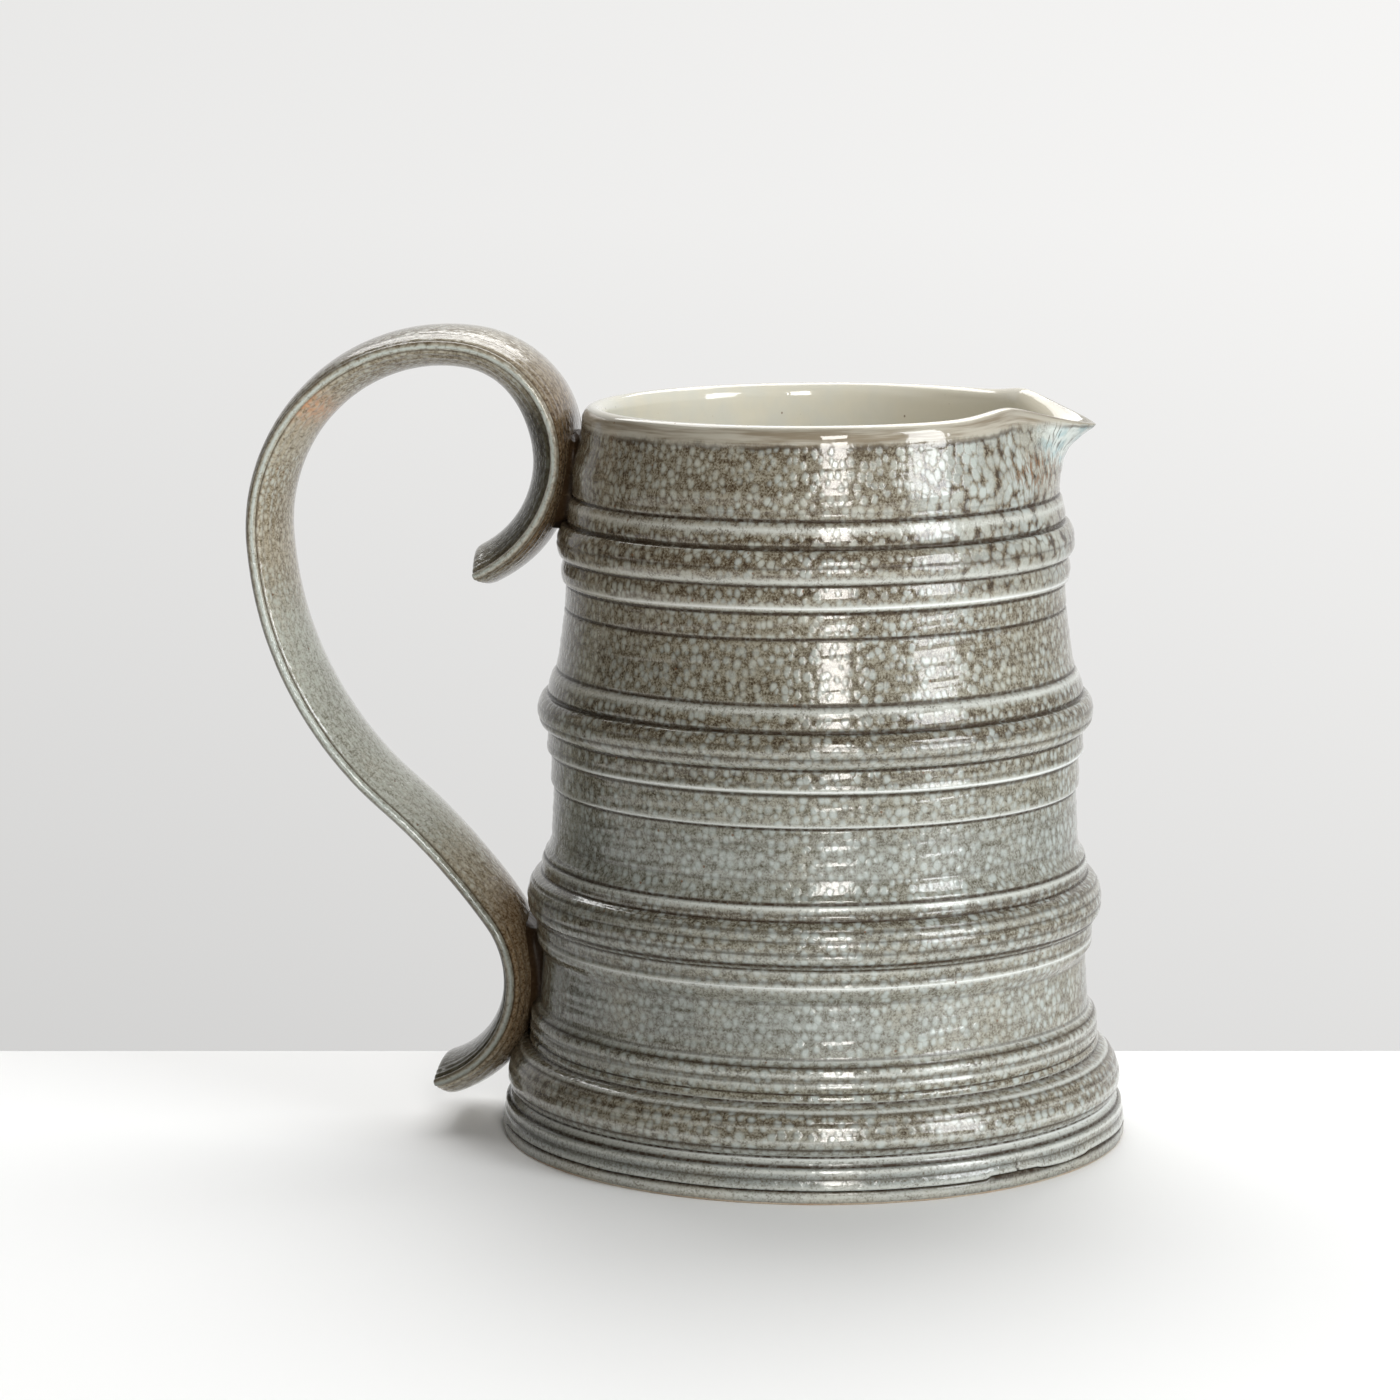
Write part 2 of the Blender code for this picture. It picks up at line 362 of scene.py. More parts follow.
def rim_outline(outside, inside):
    """Over the rounded rim, from the last point outside to the first point inside."""
    middle = (outside[0] + inside[0]) / 2
    half = (outside[0] - inside[0]) / 2
    turns = math.pi * np.arange(1, RIM_STEPS) / RIM_STEPS
    rise = RIM_TOP - outside[1]
    return np.stack([middle + half * np.cos(turns), outside[1] + rise * np.sin(turns)], 1)


def pull_lip(x, y, z):
    """Moves points of the turned wall to where pulling the lip leaves them."""
    height = np.clip((z - LIP_FOOT) / (RIM_TOP - LIP_FOOT), 0, None)
    angle = np.abs(np.arctan2(y, x))
    share = np.clip(1 - angle / LIP_HALF_ANGLE, 0, None)
    beak = share * share * (2.2 - 1.2 * share)
    shoulder = gaussian(angle - LIP_SHOULDER_ANGLE, LIP_SHOULDER_WIDTH)
    lean = height**LIP_LEAN
    radius = np.hypot(x, y)
    stretch = 1 + LIP_REACH * beak * lean / np.maximum(radius, 1e-9)
    rise = (LIP_SHOULDER_RISE * shoulder - LIP_DIP * beak) * lean
    return x * stretch, y * stretch, z + rise


def seam_rise(angle):
    """How far the seam between wall and slab lies above its mean height."""
    rise = SEAM_WAVE * waves(angle, 11, (2, 3, 5, 9, 16, 27), 0.6)
    for degrees, step in SEAM_STEPS:
        distance = np.angle(np.exp(1j * (angle - math.radians(degrees))))
        rise += step * smoothstep(distance, -0.012, 0.012) * smoothstep(distance, 0.35, 0.12)
    return rise


def grid_faces(rows, columns, closed_rows):
    """Quads of a grid of vertices whose columns run round and close."""
    row = np.arange(rows if closed_rows else rows - 1)
    column = np.arange(columns)
    row, column = np.meshgrid(row, column, indexing="ij")
    following = (row + 1) % rows
    beside = (column + 1) % columns
    quads = [row * columns + column, row * columns + beside]
    quads += [following * columns + beside, following * columns + column]
    return np.stack(quads, -1).reshape(-1, 4)


def end_caps(rows, columns):
    """The two faces that close the first and the last ring of a grid."""
    last = (rows - 1) * columns
    return range(columns)[::-1], range(last, last + columns)


def new_piece(name, grid, faces, caps=(), **attributes):
    """A smooth mesh object from a grid of points in mm, with its named values on each point."""
    mesh = bpy.data.meshes.new(name)
    points = grid.reshape(-1, 3) * MM
    mesh.from_pydata(points.tolist(), [], faces.tolist() + [list(cap) for cap in caps])
    mesh.validate()
    mesh.shade_smooth()
    for key, values in attributes.items():
        values = np.asarray(values, np.float32)
        if values.shape[-1] == 3 and values.ndim == grid.ndim:
            mesh.attributes.new(key, "FLOAT_VECTOR", "POINT").data.foreach_set("vector", values.ravel())
        else:
            values = np.broadcast_to(values, grid.shape[:-1]).ravel()
            mesh.attributes.new(key, "FLOAT", "POINT").data.foreach_set("value", values)
    obj = bpy.data.objects.new(name, mesh)
    bpy.context.scene.collection.objects.link(obj)
    return obj


def wall_angles():
    """Angles round the jug, closer together at the firing crack."""
    even = np.arange(WALL_SEGMENTS) * math.tau / WALL_SEGMENTS - math.pi
    spread = 4 * CRACK_WIDTH / BASE_RADIUS
    near = CRACK_AT + np.linspace(-spread, spread, 15)
    return np.sort(np.concatenate([even[np.abs(even - CRACK_AT) > spread * 1.2], near]))


def banded(height, bands):
    """The strongest of several soft horizontal bands at each height."""
    shares = [strength * gaussian(height - at, half_width) for at, half_width, strength in bands]
    return np.max(shares, 0)


def wall_bands(outline, outside_rows):
    """Grooves, darkened partly as painted shade, pale edges with a painted reflection on the ledges,
    flecks and calm glaze at each point of the wall's outline.
    """
    height = outline[:, 1]
    bend = np.zeros(len(outline))
    bend[:outside_rows] = bend_of(outline[:outside_rows], OUTSIDE_STEP)
    bend[:2] = 0
    bend[outside_rows - 2 :] = 0
    lines = [(at, half_width, min(1.0, depth / 0.35)) for at, depth, half_width in THROWING_LINES]
    drawn = np.minimum(1.4 * banded(height, lines), 1)
    # grooves from the inward bend and the drawn lines; their dark is partly painted shade of the undercuts
    groove = np.maximum(smoothstep(-bend, 0.25, 0.9), drawn)
    bead = banded(height, PALE_AND_REFLECTION_BANDS)
    fleck = banded(height, FLECK_BANDS)
    calm = np.minimum(banded(height, CALM_BANDS), 1)
    return [values[:, None] for values in (groove, bead, fleck, calm)]


def unsteady_hand(angle, radius, height):
    """The thrower's hand never holds quite still, and the rings lean up towards the lip."""
    sway = 0.16 * waves(angle + height * 0.021, 3, (2, 3, 4, 6))
    shiver = 0.07 * waves(angle - height * 0.33, 5, (5, 8, 11))
    radius = radius + (sway + shiver) * smoothstep(height, 6, 16)
    dip = 0.14 * waves(angle + height * 0.05, 7, (2, 3, 5, 7))
    height = height + dip * smoothstep(height, 8, 20) * smoothstep(height, 162, 150)
    height = height + RING_TILT * radius * np.cos(angle) * smoothstep(height, 70, 150)
    return radius, height


def firing_crack(angle, height):
    """How far each point lies in the short firing crack, 0 to 1."""
    line = CRACK_AT + 0.003 * np.sin(height * 2.3) + 0.002 * np.sin(height * 5.1)
    crack = gaussian((angle - line) * BASE_RADIUS, CRACK_WIDTH)
    return crack * smoothstep(height, CRACK_TOP, CRACK_TOP - 3)


def build_wall():
    outside = outer_outline()
    inside = inner_outline()
    rim = rim_outline(outside[-1], inside[0])
    outline = np.concatenate([outside, rim, inside])
    rows = len(outline)
    along = length_along(outline)
    groove, bead, fleck, calm = wall_bands(outline, len(outside))

    angles = wall_angles()
    angle, radius = np.meshgrid(angles, outline[:, 0])
    height = np.broadcast_to(outline[:, 1][:, None], angle.shape).copy()
    outer = (np.arange(rows) < len(outside) + len(rim) // 2).astype(float)[:, None]
    radius, height = unsteady_hand(angle, radius, height)
    foot = smoothstep(height, 7.0, 3.3) * outer
    height = height + seam_rise(angle) * foot
    crack = firing_crack(angle, height) * outer
    radius = radius - CRACK_DEPTH * crack

    x, y, z = pull_lip(radius * np.cos(angle), radius * np.sin(angle), height)
    grid = np.stack([x, y, z], -1)

    place = np.stack(
        [PATTERN_RADIUS * np.cos(angle), PATTERN_RADIUS * np.sin(angle), along[:, None] + 0 * angle], -1
    )
    rim_middle = along[len(outside) + len(rim) // 2]
    edge_along = np.interp(LINER_EDGE, outside[:, 1], along[: len(outside)])
    lip = gaussian(angle, 0.36) * smoothstep(height, 145, 157)
    liner = np.clip(along[:, None] - edge_along - 3 * lip, -9, 9)
    return new_piece(
        "jug_wall",
        grid,
        grid_faces(rows, len(angles), True),
        place=place,
        groove=np.maximum(groove * outer, crack),
        bead=bead * outer,
        fleck=fleck * outer,
        calm=calm * outer,
        cool=wall_coolness(angle, height) * (1 - 0.7 * fleck.clip(0, 1)) * outer,
        liner=liner,
        lip=lip * (along[:, None] < rim_middle + 1),
        drip=np.minimum(1.5 * gaussian(angle + 0.3, 0.22) * gaussian(height - 151, 4), 1) * outer,
        rich=wall_richness(angle, height) * outer,
        toast=wall_toast_and_shade(angle, height) * outer,
    )


def wall_richness(angle, height):
    """Where the salt fell thickest: on the lip side of the jug, towards the kiln's flue."""
    side = gaussian(angle + 0.5, 0.62)
    return side * (0.25 + 0.75 * smoothstep(height, 110, 150))


def wall_coolness(angle, height):
    """Where the glaze turns blue-grey: low down, least on the lip side and on the foot roll."""
    low = smoothstep(height, 138, 72)
    lip_side = gaussian(angle + 0.15, 0.75)
    foot_roll = gaussian(height - 16, 5)
    return low * (1 - 0.75 * lip_side * smoothstep(height, 75, 45)) * (1 - 0.6 * foot_roll)


def wall_toast_and_shade(angle, height):
    """Where the flame has browned the wall, and painted shade on the dim handle side: by the handle and
    the collar, less low down.
    """
    by_handle = gaussian(np.abs(np.angle(np.exp(1j * (angle - math.pi)))), 1.08)
    upper = smoothstep(height, 50, 140)
    drift = waves(angle + height * 0.03, 21, (2, 3, 5))
    return np.clip(0.04 + by_handle * (1.0 - 0.25 * upper) + 0.13 * upper + 0.10 * drift, 0, 1)


def build_base():
    angles = wall_angles()
    corner = np.linspace(0, math.pi / 2, 6)
    under = [(r, 0.0) for r in np.linspace(CENTRE_HOLE, BASE_RADIUS - BASE_CHAMFER, 46)]
    chamfer = [
        (BASE_RADIUS - BASE_CHAMFER * (1 - math.sin(t)), BASE_CHAMFER * (1 - math.cos(t)))
        for t in corner[1:]
    ]
    edge = [(BASE_RADIUS, h) for h in np.linspace(BASE_CHAMFER + 0.25, BASE_EDGE - 0.4, 6)]
    top = [(BASE_RADIUS - 0.12, BASE_EDGE - 0.12), (BASE_RADIUS - 0.4, BASE_EDGE)]
    shelf = [(FLOOR_RADIUS, BASE_EDGE), (FLOOR_RADIUS, FLOOR_TOP - 0.3)]
    floor = [(r, FLOOR_TOP) for r in np.linspace(FLOOR_RADIUS - 0.3, CENTRE_HOLE, 60)]
    outline = np.array(under + chamfer + edge + top + shelf + floor)
    rows = len(outline)
    along = length_along(outline)
    foot_along = along[len(under) + len(chamfer) + len(edge) + 1]

    angle, radius = np.meshgrid(angles, outline[:, 0])
    height = np.broadcast_to(outline[:, 1][:, None], angle.shape).copy()
    is_edge = np.zeros(rows)
    is_edge[len(under) + 2 : len(under) + len(chamfer) + len(edge) + 3] = 1
    lift = smoothstep(height, BASE_CHAMFER, BASE_EDGE) * (radius > FLOOR_RADIUS + 1)
    height = height + seam_rise(angle) * lift
    rough = 0.1 * waves(angle, 31, (7, 11, 17, 29, 41), 0.3) + 0.08 * waves(angle, 33, (53, 71, 97), 0.1)
    radius = radius - (0.12 + rough).clip(0) * is_edge[:, None]
    inside = (np.arange(rows) >= rows - len(floor)).astype(float)
    turning = 0.12 * np.sin(radius * 1.15) * smoothstep(radius, 4, 12) * smoothstep(radius, 60, 50)
    height = height - (0.12 + turning).clip(0) * inside[:, None]

    grid = np.stack([radius * np.cos(angle), radius * np.sin(angle), height], -1)
    around = BASE_RADIUS * 0.9
    drop = along[:, None] - foot_along + 0 * angle
    place = np.stack([around * np.cos(angle), around * np.sin(angle), drop], -1)
    flat = (radius < BASE_RADIUS - 2)[..., None]
    place = np.where(flat, np.stack([grid[..., 0], grid[..., 1], grid[..., 2] - 30], -1), place)
    underside = (np.arange(rows) < len(under) + 3).astype(float)[:, None]
    return new_piece(
        "slab_base",
        grid,
        grid_faces(rows, len(angles), False),
        end_caps(rows, len(angles)),
        place=place,
        # the seam is a dark groove; the dark under the chamfer is painted shade where the slab meets the
        # table
        groove=(smoothstep(height, 2.3, 2.9) + 0.6 * smoothstep(height, 1.0, 0.3)) * is_edge[:, None],
        bead=(0.1 + 0.6 * gaussian(height - 1.8, 0.5)) * is_edge[:, None],
        calm=is_edge[:, None] + 0 * angle,
        cool=0.4 * is_edge[:, None] + 0 * angle,
        liner=np.where(inside[:, None] > 0, 9.0, -9.0) + 0 * angle,
        bare=underside + 0 * angle,
        toast=0.3 + 0.3 * waves(angle, 35, (2, 3, 5)),
    )


def handle_stations():
    """Stations along the strap: x, z, heading and length so far, as one array."""
    (x, z), heading, length = HANDLE_START, HANDLE_HEADING, 0.0
    stations = [(x, z, heading, length)]
    for radius, turn in HANDLE_ARCS:
        turn = math.radians(turn)
        steps = math.ceil(radius * abs(turn) / HANDLE_STEP)
        chord = 2 * radius * math.sin(abs(turn) / steps / 2)
        for _ in range(steps):
            heading += turn / steps / 2
            x += chord * math.cos(heading)
            z += chord * math.sin(heading)
            heading += turn / steps / 2
            length += chord
            stations.append((x, z, heading, length))
    return np.array(stations)


def swell_along(stations, side):
    """How far a face of the strap swells at each station: less where it is pressed on the wall."""
    full = BACK_SWELL if side == "back" else GRIP_SWELL
    _, low, high, seat_radius, pressed_swell = next(row for row in JOINTS.values() if row[0] == side)
    share = np.clip(np.abs(stations[:, 1] - (low + high) / 2) / PRESS_LENGTH, 0, 1)
    near = stations[:, 0] >= -(seat_radius + PRESS_REACH)
    swell = full + (pressed_swell - full) * (1 + np.cos(math.pi * share)) / 2 * near
    if side == "grip":
        into_curl = stations[:, 3] - stations[0, 3] - CURL_LENGTH
        swell = swell + CURL_SWELL * gaussian(into_curl, CURL_SPREAD)
    return swell


def relief_at(across):
    """Relief that the die draws along a face, by distance in from the strap's edge."""
    inward = STRAP_WIDTH / 2 - np.abs(across)
    return sum(rise * gaussian(inward - at, width) for at, rise, width in STRAP_RELIEF)


def strap_section():
    """Points round the strap's section, over both faces and edges, and what they carry."""
    half = STRAP_WIDTH / 2 - STRAP_EDGE / 2
    widest = math.pi / 2 * 0.86  # a sine of evenly spaced turns crowds the points near the edges
    shares = np.sin(np.linspace(-1, 1, STRAP_FACE_STEPS) * widest) / math.sin(widest)
    turns = math.pi * np.arange(1, STRAP_EDGE_STEPS) / STRAP_EDGE_STEPS
    face = half * shares
    edge = half + STRAP_EDGE / 2 * np.sin(turns)
    edge_out = STRAP_EDGE / 2 * np.cos(turns)
    edge_bead = gaussian(edge_out + 0.3, 0.42)
    edge_groove = 0.7 * gaussian(edge_out - 0.65, 0.3)
    relief = relief_at(face)
    flat = STRAP_EDGE / 2 + relief
    pale = smoothstep(relief, 0.12, 0.3)
    dark = smoothstep(-relief, 0.04, 0.3)
    crown = 1 - shares**2
    no_face = 0 * crown
    no_edge = 0 * turns
    section = SimpleNamespace(
        across=np.concatenate([face, edge, -face, -edge]),
        out=np.concatenate([flat, edge_out, -flat, -edge_out]),
        back=np.concatenate([crown, no_edge, no_face, no_edge]),
        grip=np.concatenate([no_face, no_edge, crown, no_edge]),
        grip_relief=np.concatenate([no_face, no_edge, relief, no_edge]),
        groove=np.concatenate([dark, edge_groove, dark, edge_groove[::-1]]),
        bead=np.concatenate([pale, edge_bead, pale, edge_bead[::-1]]),
    )
    section.around = length_along(np.stack([section.across, section.out], 1))
    section.on_back = (section.back > 0).astype(float)
    section.on_grip = (section.grip > 0).astype(float)
    return section


def strap_line():
    """Stations along the strap, and how far the section has closed in at its rounded ends."""
    stations = handle_stations()
    ends = STRAP_END_ROUNDING * np.array([0.0, 0.1, 0.3, 0.6])
    closed = 1 - np.sqrt(1 - (1 - ends / STRAP_END_ROUNDING) ** 2)
    first = [stations[0] + (stations[1] - stations[0]) * end / HANDLE_STEP for end in ends]
    last = [stations[-1] + (stations[-2] - stations[-1]) * end / HANDLE_STEP for end in ends]
    line = np.concatenate([first, stations[2:-2], last[::-1]])
    middle = np.zeros(len(line) - 2 * len(ends))
    return line, np.concatenate([closed, middle, closed[::-1]])[:, None]


def build_strap():
    section = strap_section()
    line, closed = strap_line()
    x, z, heading, length = (line[:, i][:, None] for i in range(4))
    back = swell_along(line, "back")[:, None]
    grip = swell_along(line, "grip")[:, None]
    rubbed = inside_upper_curl(x, z)  # fingers have rubbed the relief away here
    out = section.out + 0.8 * rubbed * section.grip_relief
    out = out + back * section.back - grip * section.grip
    middle = (back - grip) / 2 * 0.5
    out = middle + (out - middle) * (1 - closed * 0.45)
    wide = np.sign(section.across) * np.maximum(np.abs(section.across) - 1.1 * closed, 0)
    wander = 0.12 * np.sin(length * 0.21 + 1.3 * np.sin(length * 0.05)) + 0.06 * np.sin(length * 0.63 + 2)
    wide = wide + wander * 0.6
    grid = np.stack([x + out * np.sin(heading), wide + 0 * x, z - out * np.cos(heading)], -1)

    rings, columns = grid.shape[:2]
    drawn = 1 - 0.8 * rubbed * section.on_grip
    leg = smoothstep(grid[..., 2], 56, 72) * smoothstep(grid[..., 2], 132, 105)
    from_flash = np.hypot(grid[..., 0] - FLASH_AT[0], grid[..., 2] - FLASH_AT[1])
    return new_piece(
        "strap_handle",
        grid,
        grid_faces(rings, columns, False),
        end_caps(rings, columns),
        place=np.stack([length + 0 * wide, section.around + 0 * wide, 200 + 0 * wide], -1),
        groove=section.groove * drawn,
        bead=section.bead * drawn,
        liner=-9 + 0 * wide,
        toast=strap_toast_and_shade(grid, section),
        smoke=strap_painted_shade(grid, line, section),
        flash=gaussian(from_flash, FLASH_SIZE) * section.on_grip,
        calm=0.75 * leg,
        cool=leg,
    )


def inside_upper_curl(x, z):
    """1 on the strap inside its upper curl, 0 elsewhere."""
    return smoothstep(x, -84, -66) * smoothstep(z, 172, 158) * smoothstep(z, 100, 118)


def strap_toast_and_shade(grid, section):
    """Where the flame has flashed the strap brown, with painted shade in the gap by the wall: on the sides
    that face the wall.
    """
    x, z = grid[..., 0], grid[..., 2]
    upper = smoothstep(x, -84, -62) * smoothstep(z, 186, 156) * smoothstep(z, 118, 136)
    lower = smoothstep(x, -78, -65) * smoothstep(z, 68, 48)
    return np.clip(0.06 + upper * section.on_back + lower * section.on_grip, 0, 1)


def strap_painted_shade(grid, line, section):
    """Painted shade on the strap: dark inside both curls, and a little on the back of the loop."""
    x, z = grid[..., 0], grid[..., 2]
    upper = inside_upper_curl(x, z) * section.on_grip
    on_edge = 1 - section.on_back - section.on_grip
    lower = smoothstep(z, 68, 50) * (section.on_back + 0.5 * on_edge)
    whole = line[:, 3].max()
    loop = gaussian(line[:, 3] - whole * 0.45, whole * 0.22)[:, None]
    return np.clip(upper + lower + 0.5 * loop * section.on_back, 0, 1)


def build_joint(name):
    """Clay smeared between the strap and the wall: waisted, and flared where it meets each, and coloured
    dark as painted shade of the crease.
    """
    side, low, high, seat_radius, _ = JOINTS[name]
    sign = 1 if side == "back" else -1
    stations = handle_stations()
    facing = stations[np.sin(stations[:, 2]) * sign > 0.2]
    facing = facing[(facing[:, 1] > low - 12) & (facing[:, 1] < high + 12)]
    order = np.argsort(facing[:, 1])
    below, above = JOINT_SMEAR[name]
    heights = np.linspace(low - below, high + above, JOINT_ROWS)
    face_x = np.interp(heights, facing[order, 1], facing[order, 0])
    swell = np.interp(heights, facing[order, 1], swell_along(facing[order], side))
    half = JOINT_HALF_WIDTH * np.sqrt(1 - 0.55 * np.linspace(-1, 1, JOINT_ROWS) ** 4)

    depth = np.linspace(0, 1, 9)
    waist = 1 - 0.16 * np.sin(math.pi * depth)
    front = np.linspace(-1, 1, 13)
    share = np.concatenate([front[:-1], waist[:-1], -front[:-1], -waist[::-1][:-1]])
    deep = np.concatenate([0 * front[:-1], depth[:-1], 1 + 0 * front[:-1], depth[::-1][:-1]])
    y = half[:, None] * share[None]
    strap_x = face_x[:, None] + STRAP_EDGE / 2 + swell[:, None] * (1 - (y / (STRAP_WIDTH / 2)) ** 2) - 0.5
    wall_x = -np.sqrt(seat_radius**2 - y**2) + 0.4
    x = strap_x + (wall_x - strap_x) * deep[None]
    squeeze = 1 - 0.16 * np.sin(math.pi * deep)[None]
    middle = (low + high) / 2
    z = middle + (heights[:, None] - middle) * squeeze
    grid = np.stack([x, y, z], -1)
    columns = grid.shape[1]
    return new_piece(
        name,
        grid,
        grid_faces(JOINT_ROWS, columns, True),
        end_caps(JOINT_ROWS, columns),
        place=grid,
        # painted shade: the whole joint is darkened as the deep crease between strap and wall
        groove=1.3 + 0 * x,
        liner=-9 + 0 * x,
        toast=1 + 0 * x,
    )


# ---------------------------------------------------------------- glazes


class Nodes:
    """Nodes of a material or a world, made by small calls that each return an output socket."""

    def __init__(self, owner):
        owner.use_nodes = True
        self.tree = owner.node_tree

    def node(self, kind, **settings):
        node = self.tree.nodes.new(kind)
        for key, value in settings.items():
            setattr(node, key, value)
        return node

    def feed(self, socket, value):
        if isinstance(value, bpy.types.NodeSocket):
            self.tree.links.new(value, socket)
        else:
            socket.default_value = value

    def calc(self, operation, first, second):
        node = self.node("ShaderNodeMath", operation=operation)
        self.feed(node.inputs[0], first)
        self.feed(node.inputs[1], second)
        return node.outputs[0]

    def plus(self, first, second):
        return self.calc("ADD", first, second)

    def minus(self, first, second):
        return self.calc("SUBTRACT", first, second)

    def times(self, first, second):
        return self.calc("MULTIPLY", first, second)

    def most(self, first, second):
        return self.calc("MAXIMUM", first, second)

    def ramp(self, value, low, high, to_low=0.0, to_high=1.0, shape="SMOOTHSTEP"):
        node = self.node("ShaderNodeMapRange", interpolation_type=shape)
        self.feed(node.inputs["Value"], value)
        node.inputs["From Min"].default_value = low
        node.inputs["From Max"].default_value = high
        node.inputs["To Min"].default_value = to_low
        node.inputs["To Max"].default_value = to_high
        return node.outputs["Result"]


class Glaze(Nodes):
    """A material of fired clay, drawn from the values on a piece's points."""

    def __init__(self, name):
        self.material = bpy.data.materials.new(name)
        super().__init__(self.material)
        self.shader = self.tree.nodes["Principled BSDF"]

    def attribute(self, name, vector=False):
        node = self.node("ShaderNodeAttribute", attribute_name=name)
        return node.outputs["Vector" if vector else "Fac"]

    def scaled(self, vector, factors):
        node = self.node("ShaderNodeVectorMath", operation="MULTIPLY")
        self.feed(node.inputs[0], vector)
        self.feed(node.inputs[1], factors)
        return node.outputs[0]

    def added(self, vector, offset):
        node = self.node("ShaderNodeVectorMath", operation="ADD")
        self.feed(node.inputs[0], vector)
        self.feed(node.inputs[1], offset)
        return node.outputs[0]

    def noise(self, at, scale, detail=2.0, roughness=0.5, colour=False):
        node = self.node("ShaderNodeTexNoise")
        self.feed(node.inputs["Vector"], at)
        node.inputs["Scale"].default_value = scale
        node.inputs["Detail"].default_value = detail
        node.inputs["Roughness"].default_value = roughness
        return node.outputs["Color" if colour else "Fac"]

    def unrolled(self, at):
        """The pattern's place laid flat: millimetres round the jug and millimetres up."""
        parts = self.node("ShaderNodeSeparateXYZ")
        self.feed(parts.inputs[0], at)
        flat = self.node("ShaderNodeCombineXYZ")
        turned = self.calc("ARCTAN2", parts.outputs[1], parts.outputs[0])
        self.feed(flat.inputs[0], self.times(turned, PATTERN_RADIUS))
        self.feed(flat.inputs[1], parts.outputs[2])
        return flat.outputs[0]

    def cells(self, at, randomness=1.0, flat=False):
        node = self.node("ShaderNodeTexVoronoi", feature="F1")
        node.voronoi_dimensions = "2D" if flat else "3D"
        self.feed(node.inputs["Vector"], at)
        node.inputs["Scale"].default_value = 1.0
        node.inputs["Randomness"].default_value = randomness
        return node.outputs["Distance"], node.outputs["Color"]

    def mix(self, share, first, second, blend="MIX"):
        node = self.node("ShaderNodeMix", data_type="RGBA", blend_type=blend)
        self.feed(node.inputs["Factor"], share)
        self.feed(node.inputs[6], first)
        self.feed(node.inputs[7], second)
        return node.outputs[2]


def rgb(red, green, blue):
    return (red, green, blue, 1.0)


# Values that a piece may carry on its points; one that it lacks reads as 0.
POINT_VALUES = (
    "groove",  # how deep in a groove; its dark is partly painted shade
    "bead",  # how far out on a pale edge; above 1, a painted reflection on a ledge
    "fleck",  # brown flecks
    "calm",  # quiet, even glaze
    "cool",  # blue-grey glaze
    "liner",  # mm past the edge of the liner glaze
    "lip",  # on the pouring lip
    "drip",  # rusty hairs under the lip
    "rich",  # thick salt, with large spots
    "toast",  # browned by the flame, and painted shade
    "smoke",  # painted shade
    "flash",  # small orange blush
)


def salt_fields(coat, cell_shape, big_cell_shape, wrapped):
    """What every layer of the glaze is drawn from: point values, noises, spots and specks."""
    salt = SimpleNamespace(**{name: coat.attribute(name) for name in POINT_VALUES})
    salt.place = coat.attribute("place", vector=True)
    salt.patch = coat.noise(salt.place, 0.05)
    salt.cloud = coat.noise(salt.place, 0.09, 3, 0.5)
    salt.clump = coat.noise(salt.place, 0.8, 2, 0.6)
    salt.grain = coat.noise(salt.place, 2.0, 3, 0.65)
    salt.streak = coat.noise(coat.scaled(salt.place, (0.04, 0.04, 0.8)), 1.0, 3, 0.6)
    salt.ragged = coat.times(coat.minus(salt.grain, 0.5), 0.5)

    # Everything runs a little in the kiln: bend the pattern before drawing it.
    drift = coat.noise(salt.place, 0.5, colour=True)
    bent = coat.added(salt.place, coat.scaled(coat.added(drift, (-0.5, -0.5, -0.5)), (0.9, 0.9, 0.9)))
    if wrapped:
        bent = coat.unrolled(bent)
    small, small_tint = coat.cells(coat.scaled(bent, cell_shape), 0.95, flat=True)
    large, _ = coat.cells(coat.scaled(bent, big_cell_shape), 0.95, flat=True)

    # Spots of clear coat, small all over and large where the salt fell thickest.
    size = coat.times(coat.minus(small_tint, 0.5), 0.28)
    small_spot = coat.ramp(coat.plus(coat.plus(small, salt.ragged), size), 0.47, 0.10)
    large_spot = coat.ramp(coat.plus(large, salt.ragged), 0.56, 0.26)
    uneven = coat.times(coat.minus(salt.patch, 0.5), 0.9)
    thick = coat.ramp(coat.plus(salt.rich, uneven), 0.35, 0.75)
    salt.spot = coat.most(coat.times(small_spot, 0.85), coat.times(large_spot, thick))

    # Fine specks, low where they are dark, with a dark net where the salt is thick.
    speckle = coat.plus(coat.times(salt.grain, 0.65), coat.times(salt.clump, 0.35))
    speckle = coat.plus(speckle, coat.times(coat.minus(salt.streak, 0.5), 0.25))
    speckle = coat.minus(speckle, coat.times(salt.fleck, 0.10))
    net = coat.times(coat.ramp(large, 0.52, 0.85), thick)
    salt.speckle = coat.minus(speckle, coat.times(net, 0.16))

    wander = coat.times(coat.minus(coat.noise(salt.place, 0.25, 3, 0.6), 0.5), 2.4)
    salt.liner_edge = coat.plus(salt.liner, wander)
    salt.lined = coat.ramp(salt.liner_edge, -1.3, 1.0)
    return salt


